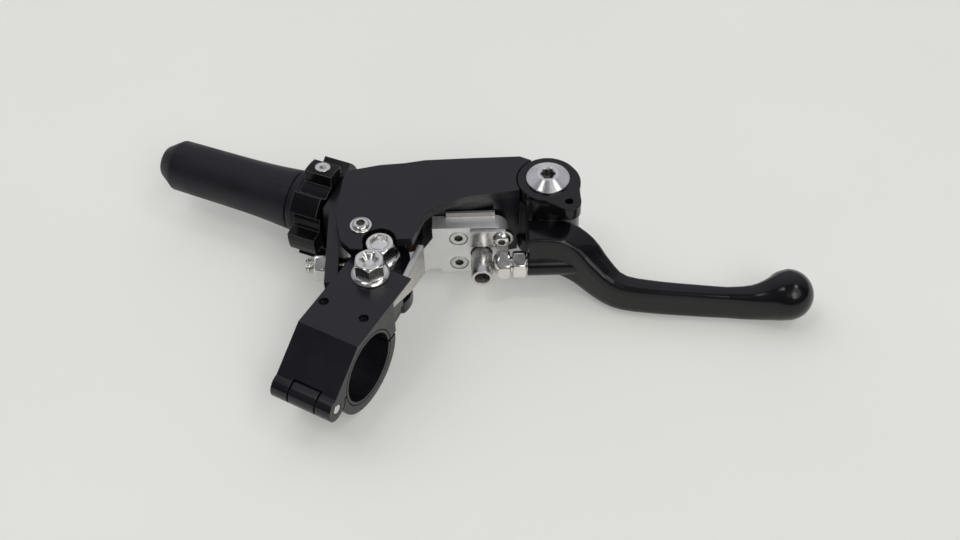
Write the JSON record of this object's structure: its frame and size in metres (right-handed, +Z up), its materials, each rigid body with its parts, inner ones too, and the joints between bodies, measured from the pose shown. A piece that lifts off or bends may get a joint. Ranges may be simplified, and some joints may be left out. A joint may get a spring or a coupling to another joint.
{
  "type": "folding clutch lever with handlebar perch and cable adjuster",
  "caption": "Cable clutch lever for a handlebar: hinged clamp perch, swinging arm with a folding blade, reach screw, star-wheel cable adjuster and rubber boot.",
  "frame": {"origin": "on the handlebar's axis, level with the clamp bolt", "axes": "+X along the handlebar towards the lever's tip, +Y away from the rider, +Z up"},
  "size_m": [0.212, 0.1196, 0.0356],
  "materials": {
    "black_anodised": "satin black anodised",
    "bare_aluminium": "bare, fine machined",
    "plated_steel": "bright zinc plate",
    "bronze": "plain bearing bronze",
    "black_rubber": "matte moulded rubber",
    "grey_plastic": "dark grey moulded"
  },
  "bodies": {
    "perch": {"perch_body": "black_anodised", "clamp_half": "black_anodised", "bar_sleeve": "grey_plastic", "hinge_pin": "plated_steel", "clamp_bolt": "plated_steel", "pivot_bolt": "plated_steel", "pivot_nut": "plated_steel", "guard_plate": "bare_aluminium", "stop_screw": "plated_steel", "stop_nut": "plated_steel", "stop_washer": "plated_steel"},
    "arm": {"swing_arm": "black_anodised", "knuckle_plate": "bare_aluminium", "plate_screw_high": "plated_steel", "plate_screw_low": "plated_steel", "post_bracket": "bare_aluminium", "bracket_screw": "plated_steel", "stop_post": "plated_steel", "arm_screw": "plated_steel", "pivot_bush": "bronze", "cable_trunnion": "bronze", "fold_bolt": "plated_steel", "fold_nut": "plated_steel", "fold_bush": "bronze", "fold_spring": "plated_steel"},
    "blade": {"blade": "black_anodised", "reach_nut": "plated_steel"},
    "reach": {"reach_screw": "plated_steel"},
    "wheel": {"star_wheel": "black_anodised", "wheel_screw": "plated_steel"},
    "adjuster": {"adjuster_barrel": "plated_steel", "boot": "black_rubber"}
  },
  "joints": [
    {"name": "lever_pull", "type": "hinge", "parent": "perch", "child": "arm", "pos_m": [-0.003, 0.032, 0], "axis": [0, 0, -1], "range_deg": [0, 25], "stiffness_Nm_per_rad": 1.5, "springref_deg": -11.46},
    {"name": "lever_fold", "type": "hinge", "parent": "arm", "child": "blade", "pos_m": [0.03012, 0.07964, 0], "axis": [0, 0, 1], "range_deg": [0, 70], "stiffness_Nm_per_rad": 0.5, "springref_deg": -11.46},
    {"name": "reach_screw_turn", "type": "hinge", "parent": "blade", "child": "reach", "pos_m": [0.03287, 0.06068, -0.0026], "axis": [0.866, 0.5, 0], "range_deg": [-720, 720]},
    {"name": "wheel_turn", "type": "hinge", "parent": "perch", "child": "wheel", "pos_m": [-0.0352, 0.0481, 0.0016], "axis": [-0.9947, -0.1028, 0], "range_deg": [0, 1728]},
    {"name": "adjuster_travel", "type": "slide", "parent": "perch", "child": "adjuster", "axis": [-0.9947, -0.1028, 0], "range_m": [0, 0.006]}
  ],
  "couplings": [
    {"joint": "adjuster_travel", "follows": "wheel_turn", "m_per_rad": 0.00019894}
  ]
}
